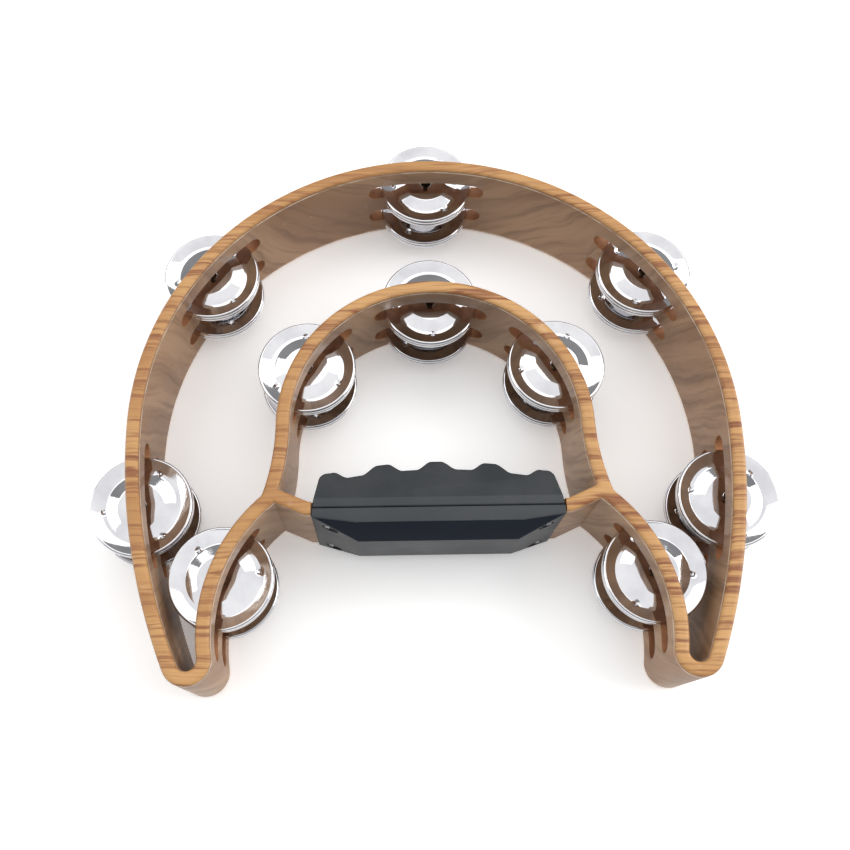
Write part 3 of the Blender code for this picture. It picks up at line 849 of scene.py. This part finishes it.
gripShape = {
    "inset": 0.0003,
    "shellWall": 0.0025,
    "gap": 0.0003,
    "fingerReach": 0.0224,
    "fingerCrown": 2.65,
    "fingerPitch": 0.0230,
    "fingerDepth": 0.0041,
    "fingerTop": 0.09,
    "fingerFoot": 0.38,
    "fingerCrease": 0.0040,
    "fingerDrop": 0.0090,
    "fingerSamples": 150,
    "endRun": 0.0030,
    "endCorner": 0.0040,
    "ridgeRound": 0.0009,
    "palmReach": 0.0119,
    "palmBand": 0.0063,
    "palmEndBand": 0.0038,
    "palmBevel": 0.0108,
    "palmFlat": 0.0670,
    "edgeRound": 0.00035,
    "screwSeat": 0.0040,
    "recess": 0.0033,
    "hole": 0.0017,
    "bossDepth": 0.0103,
    "fingerSkin": 0.0050,  # left outside the pockets
    "palmSkin": 0.0028,
    "fingerPocket": 0.018,  # half heights of the pockets
    "palmPocket": 0.015,
}
gripTone = {
    "face": srgb(50, 54, 58),
    "worn": srgb(60, 63, 66),
    "deep": srgb(28, 31, 36),
    # bevel tones are painted shade: darker, bluer copies of the moulding for the slanted front faces
    "bevel": srgb(26, 31, 42),
    "bevelShadeWorn": srgb(32, 37, 47),
    "roughness": 0.5,
}
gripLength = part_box("grip_finger_shell")[1].x * 2


def neckHeights():
    half = midZ - gripShape["inset"] - gripShape["shellWall"] - gripShape["gap"]
    return midZ - half, midZ + half


def gripMaterial(name, face, worn, roughness, gloss):
    # fine spark-eroded moulding
    material, kit, shader, place = newMaterial(name, Specular_IOR_Level=gloss)
    cloud = kit.noise(place, 38.0, 4, 0.6)
    speck = kit.noise(place, 2600.0, 2)
    colour = kit.mix(kit.step(cloud, 0.35, 0.72), face, worn)
    colour = kit.mix(kit.step(speck, 0.5, 0.75, 0.0, 0.25), colour, gripTone["deep"])
    texture = kit.bump(speck, 0.28, 0.00012)
    rough = kit.step(cloud, 0.3, 0.75, roughness - 0.05, roughness + 0.1)
    wire(kit, shader, Base_Color=colour, Roughness=rough,
         Normal=kit.bump(kit.noise(place, 620.0, 3), 0.12, 0.0002, texture))
    return material


def fingerRidge(x):
    s = gripShape
    fromTop = abs(x / s["fingerPitch"] - round(x / s["fingerPitch"]))
    t = min(max((fromTop - s["fingerTop"]) / (s["fingerFoot"] - s["fingerTop"]), 0), 1)
    return s["fingerReach"] - s["fingerCrown"] * x * x - s["fingerDepth"] * t * t * (3 - 2 * t)


def channelCutter():
    low, high = neckHeights()
    halfY = halfWall + gripShape["gap"]
    barY, gap = plan["barY"], gripShape["gap"]
    return hull("channel", [
        (x, y, z) for x in (-gripLength, gripLength) for y in (barY - halfY, barY + halfY)
        for z in (low - gap, high + gap)
    ])


def finishShell(shell, cutters, name):
    bpy.context.view_layer.update()
    tools = joined(cutters)
    cutWith(shell, tools)
    bake(shell)
    bpy.data.objects.remove(tools)
    shell.data.transform(Matrix.Translation((0, planY, 0)))
    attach(shell, "frame")
    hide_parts(name)


def makeFingerShell(finish):
    s = gripShape
    barY = plan["barY"]
    half = gripLength / 2
    ridgeEnd = half - s["endRun"] - s["endCorner"]
    count = s["fingerSamples"]
    ridgeLine = [
        Vector((x, barY + fingerRidge(x)))
        for x in (ridgeEnd - 2 * ridgeEnd * i / count for i in range(count + 1))
    ]
    base = Vector((half, barY + s["gap"] / 2))
    corner = Vector((half - s["endRun"], barY + fingerRidge(ridgeEnd)))
    rounded = roundCorner(base, corner, ridgeLine[0], s["endCorner"])
    outline = [base] + rounded[:-1] + ridgeLine + mirrored(rounded[:-1]) + [Vector((-half, base.y))]
    halfHeight = midZ - s["inset"]
    shell = plate("fingerShell", [outline], halfHeight * 2)
    shell.location.z = midZ
    far = s["fingerReach"] + s["fingerCrease"]
    fall = s["fingerDrop"] * (far - s["fingerCrease"]) / (s["fingerReach"] - s["fingerCrease"])
    profile = [(-0.001, halfHeight), (s["fingerCrease"], halfHeight), (far, halfHeight - fall)]
    keep = hull("fingerProfile", [
        (x, barY + y, midZ + up * z) for x in (-gripLength, gripLength) for y, z in profile for up in (-1, 1)
    ])
    cutWith(shell, keep, "INTERSECT")
    bake(shell)
    bpy.data.objects.remove(keep)
    addModifier(shell, "BEVEL", width=s["ridgeRound"], segments=3, limit_method="ANGLE",
                angle_limit=math.radians(38), use_clamp_overlap=True)
    bake(shell)
    shell.data.materials.append(finish)
    cutters = [channelCutter()]
    front = barY - plan["barCut"]
    for x, z in screwPlaces:
        cutters.append(rod("boss", s["hole"], (x, front, z), (x, barY + s["bossDepth"], z)))
    groove = fingerRidge(s["fingerPitch"] / 2) - s["fingerSkin"]
    cutters.append(hull("pocket", [
        (x, y, z) for x in (-s["palmFlat"] / 2, s["palmFlat"] / 2) for y in (front, barY + groove)
        for z in (midZ - s["fingerPocket"], midZ + s["fingerPocket"])
    ]))
    finishShell(shell, cutters, "grip_finger_shell")
    shade(shell, 20)
    print("finger shell:", len(shell.data.polygons), "faces")


def makePalmShell(finish, paintedBevelShade):
    s = gripShape
    barY = plan["barY"]
    half, flat = gripLength / 2, s["palmFlat"] / 2
    high = midZ - s["inset"]
    low = high - s["palmBevel"]
    corners = [
        (half, s["gap"] / 2, high), (half, s["palmEndBand"], high), (flat, s["palmBand"], high),
        (flat, s["palmReach"], low),
    ]
    shell = hull("palmShell", [
        (side * x, barY - y, midZ + up * z) for x, y, z in corners for side in (-1, 1) for up in (-1, 1)
    ])
    addModifier(shell, "BEVEL", width=s["edgeRound"], segments=3, limit_method="ANGLE",
                angle_limit=math.radians(8), use_clamp_overlap=True)
    bake(shell)
    shell.data.materials.append(finish)
    shell.data.materials.append(paintedBevelShade)
    # slanted front faces take the painted-shade copy of the moulding
    for face in shell.data.polygons:
        slanted = face.normal.y < -0.5 and 0.3 < abs(face.normal.z) < 0.75
        face.material_index = 1 if slanted and face.area > 1e-5 else 0
    cutters = [channelCutter()]
    seat = barY - s["screwSeat"] - clearance
    back = barY + plan["barCut"]
    for x, z in screwPlaces:
        cutters.append(rod("hole", s["hole"], (x, seat - overshoot, z), (x, back, z)))
        cutters.append(rod("recess", s["recess"], (x, barY - 2 * overshoot, z), (x, seat, z), 40))
    cutters.append(hull("pocket", [
        (x, y, z) for x in (-flat, flat) for y in (barY - s["palmReach"] + s["palmSkin"], back)
        for z in (midZ - s["palmPocket"], midZ + s["palmPocket"])
    ]))
    finishShell(shell, cutters, "grip_palm_shell")
    shade(shell, 20)
    print("palm shell:", len(shell.data.polygons), "faces")


def makeGrip():
    finish = gripMaterial("gripMoulding", gripTone["face"], gripTone["worn"], gripTone["roughness"], 0.42)
    # the bevel copy carries painted shade in its colour, with its own roughness and gloss
    paintedBevelShade = gripMaterial("gripBevel", gripTone["bevel"], gripTone["bevelShadeWorn"], 0.6, 0.08)
    makeFingerShell(finish)
    makePalmShell(finish, paintedBevelShade)


studio = {
    "floor": srgb(253, 253, 253),
    "floorWorn": srgb(250, 250, 250),
    "floorSize": 6.0,
    "floorLift": 0.24,
    "sky": 0.34,
    "lights": (
        # name, place, aimed at, width and depth, brightness, colour
        ("overhead", (0, -0.2, 1.5), (0, -0.2, 0), (2.8, 1.4), 0.82, (1.0, 1.0, 1.0)),
        ("behind", (0, 0.97, 1.5), (0, 0.97, 0), (2.8, 0.94), 1.6, (1.0, 1.0, 1.0)),
        ("right", (1.4, 0.1, 0.75), (0, 0, 0.02), (1.1, 1.1), 4.0, (1.0, 0.99, 0.97)),
        ("left", (-1.4, 0.1, 0.75), (0, 0, 0.02), (1.1, 1.1), 1.9, (0.98, 0.99, 1.0)),
    ),
}


def makeStudio():
    world = bpy.data.worlds.new("studio")
    scene.world = world
    world.use_nodes = True
    background = world.node_tree.nodes["Background"]
    background.inputs["Color"].default_value = (1.0, 1.0, 1.0, 1)
    background.inputs["Strength"].default_value = studio["sky"]
    bm = bmesh.new()
    bmesh.ops.create_grid(bm, x_segments=1, y_segments=1, size=studio["floorSize"] / 2)
    mesh = bpy.data.meshes.new("floor")
    bm.to_mesh(mesh)
    bm.free()
    material, kit, shader, place = newMaterial("paleFloor")
    tone = kit.noise(place, 3.0, 2)
    wire(kit, shader, Base_Color=kit.mix(kit.step(tone, 0.3, 0.7), studio["floor"], studio["floorWorn"]))
    shader.inputs["Roughness"].default_value = 0.8
    shader.inputs["Emission Color"].default_value = (1.0, 1.0, 1.0, 1)
    shader.inputs["Emission Strength"].default_value = studio["floorLift"]
    floor = newObject("floor", mesh, material)
    floor.location.z = frameLow.z - 0.0002
    for name, place, target, size, brightness, colour in studio["lights"]:
        light = bpy.data.lights.new(name + "Softbox", "AREA")
        light.shape = "RECTANGLE"
        light.size, light.size_y = size
        light.energy = brightness * math.pi * size[0] * size[1]
        light.color = colour
        lamp = bpy.data.objects.new(light.name, light)
        scene.collection.objects.link(lamp)
        lamp.location = place
        lamp.rotation_euler = (Vector(target) - Vector(place)).to_track_quat("-Z", "Y").to_euler()
    scene.view_settings.view_transform = "Standard"
    print("studio: floor and", len(studio["lights"]), "softboxes")


view = {
    "elevation": 1.21861,
    "distance": 0.44046,
    "roll": 0.04289,
    "yaw": -0.06014,
    "target": (-0.014234, 0.010444),
    "lens": 39.2,
    "shift": (0.0292, 0.0151),
}


def makeCamera():
    el, yaw, roll = view["elevation"], view["yaw"], view["roll"]
    back = Vector((math.sin(yaw) * math.cos(el), -math.cos(yaw) * math.cos(el), math.sin(el)))
    right = (-back).cross(Vector((0, 0, 1))).normalized()
    up = right.cross(-back)
    tiltedRight = right * math.cos(roll) + up * math.sin(roll)
    tiltedUp = up * math.cos(roll) - right * math.sin(roll)
    target = Vector((view["target"][0], view["target"][1] + planY, 0))
    camera = bpy.data.objects.new("camera", bpy.data.cameras.new("camera"))
    scene.collection.objects.link(camera)
    turn = Matrix((tiltedRight, tiltedUp, back)).transposed().to_4x4()
    camera.matrix_world = Matrix.Translation(target + back * view["distance"]) @ turn
    camera.data.lens = view["lens"]
    camera.data.shift_x, camera.data.shift_y = view["shift"]
    camera.data.clip_start = 0.01
    scene.camera = camera


makeCamera()
makeStudio()
makeFrame()
makeJingles()
makePins()
makeScrews()
makeGrip()
